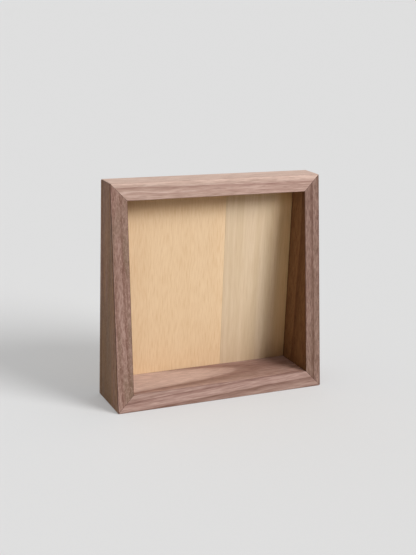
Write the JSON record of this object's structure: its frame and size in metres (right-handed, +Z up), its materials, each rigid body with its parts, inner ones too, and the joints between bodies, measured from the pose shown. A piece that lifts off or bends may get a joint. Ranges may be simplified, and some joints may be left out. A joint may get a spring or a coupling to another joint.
{
  "type": "open-front display box",
  "caption": "Open-front wooden display box with mitred frame boards, a front that leans back over a deeper foot, and a flush two-tone veneered plywood back.",
  "frame": {"origin": "under the middle of the base, on the surface that the box stands on", "axes": "+X to the right seen from the front, +Y from the open front towards the flat rear, +Z up"},
  "size_m": [0.2, 0.05, 0.195],
  "materials": {
    "walnut": "satin",
    "honey_veneer": "satin",
    "pale_veneer": "satin",
    "rear_veneer": "satin",
    "poplar_core": "matte",
    "beech_spline": "matte",
    "steel_brad": "satin"
  },
  "bodies": {
    "root": {"bottom_board": "walnut", "top_board": "walnut", "left_board": "walnut", "right_board": "walnut", "mitre_spline_top_left": "beech_spline", "mitre_spline_top_right": "beech_spline", "mitre_spline_bottom_left": "beech_spline", "mitre_spline_bottom_right": "beech_spline", "panel_front_veneer_left": "honey_veneer", "panel_front_veneer_right": "pale_veneer", "panel_core": "poplar_core", "panel_rear_veneer": "rear_veneer", "brad_top_1": "steel_brad", "brad_top_2": "steel_brad", "brad_top_3": "steel_brad", "brad_bottom_1": "steel_brad", "brad_bottom_2": "steel_brad", "brad_bottom_3": "steel_brad", "brad_left_1": "steel_brad", "brad_left_2": "steel_brad", "brad_left_3": "steel_brad", "brad_right_1": "steel_brad", "brad_right_2": "steel_brad", "brad_right_3": "steel_brad"}
  },
  "joints": []
}
